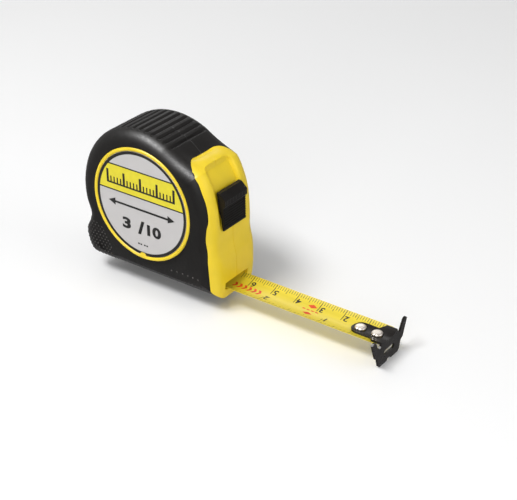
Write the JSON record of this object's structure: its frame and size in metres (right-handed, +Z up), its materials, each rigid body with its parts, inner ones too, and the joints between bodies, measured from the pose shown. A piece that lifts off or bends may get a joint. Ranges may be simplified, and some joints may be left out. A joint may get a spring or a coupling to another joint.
{
  "type": "pocket tape measure",
  "caption": "Pocket tape measure with a yellow and black case, a partly drawn cupped steel blade with a riveted end hook, a thumb lock and a belt clip.",
  "frame": {"origin": "on the flat foot under the case, on its mid-plane, about under the drum's axis", "axes": "+X out along the blade towards the hook, +Y away from the front label towards the belt clip, +Z up through the ribbed top"},
  "size_m": [0.1273, 0.0343, 0.0638],
  "materials": {
    "case_plastic": "satin",
    "jacket_rubber": "fine grain",
    "label_print": "satin laminate",
    "arbor_steel": "turned",
    "drum_plastic": "moulded",
    "spring_steel": "blued",
    "blade_paint": "gloss",
    "hook_steel": "black, satin",
    "rivet_nickel": "nickel plated",
    "lock_plastic": "moulded, fine grain",
    "strip_plastic": "moulded",
    "screw_steel": "zinc plated",
    "clip_steel": "bright"
  },
  "bodies": {
    "case": {"left_case_shell": "case_plastic", "right_case_shell": "case_plastic", "left_rubber_jacket": "jacket_rubber", "right_rubber_jacket": "jacket_rubber", "left_label": "label_print", "right_label": "label_print", "spring_arbor": "arbor_steel", "blade_lead": "blade_paint", "case_screws": "screw_steel", "belt_clip": "clip_steel", "belt_clip_screw": "screw_steel"},
    "drum": {"spring_drum": "drum_plastic", "drum_cover": "drum_plastic", "power_spring": "spring_steel", "blade_coil": "blade_paint"},
    "blade": {"blade": "blade_paint", "hook_rivets": "rivet_nickel"},
    "hook": {"end_hook": "hook_steel"},
    "lock": {"lock_button": "lock_plastic", "lock_strip": "strip_plastic"}
  },
  "joints": [
    {"name": "drum_turn", "type": "hinge", "parent": "case", "child": "drum", "pos_m": [-0.002, 0, 0.0322], "axis": [0, 1, 0], "range_deg": [0, 177.2], "deforming": ["power_spring"]},
    {"name": "blade_slide", "type": "slide", "parent": "case", "child": "blade", "axis": [1, 0, 0], "range_m": [-0.0631, 0], "deforming": ["blade_lead", "blade"]},
    {"name": "hook_float", "type": "slide", "parent": "blade", "child": "hook", "axis": [1, 0, 0], "range_m": [-0.0008, 0]},
    {"name": "lock_slide", "type": "slide", "parent": "case", "child": "lock", "axis": [-0.2924, 0, 0.9563], "range_m": [0, 0.006]}
  ],
  "couplings": [
    {"joint": "blade_slide", "follows": "drum_turn", "m_per_rad": -0.0204}
  ]
}
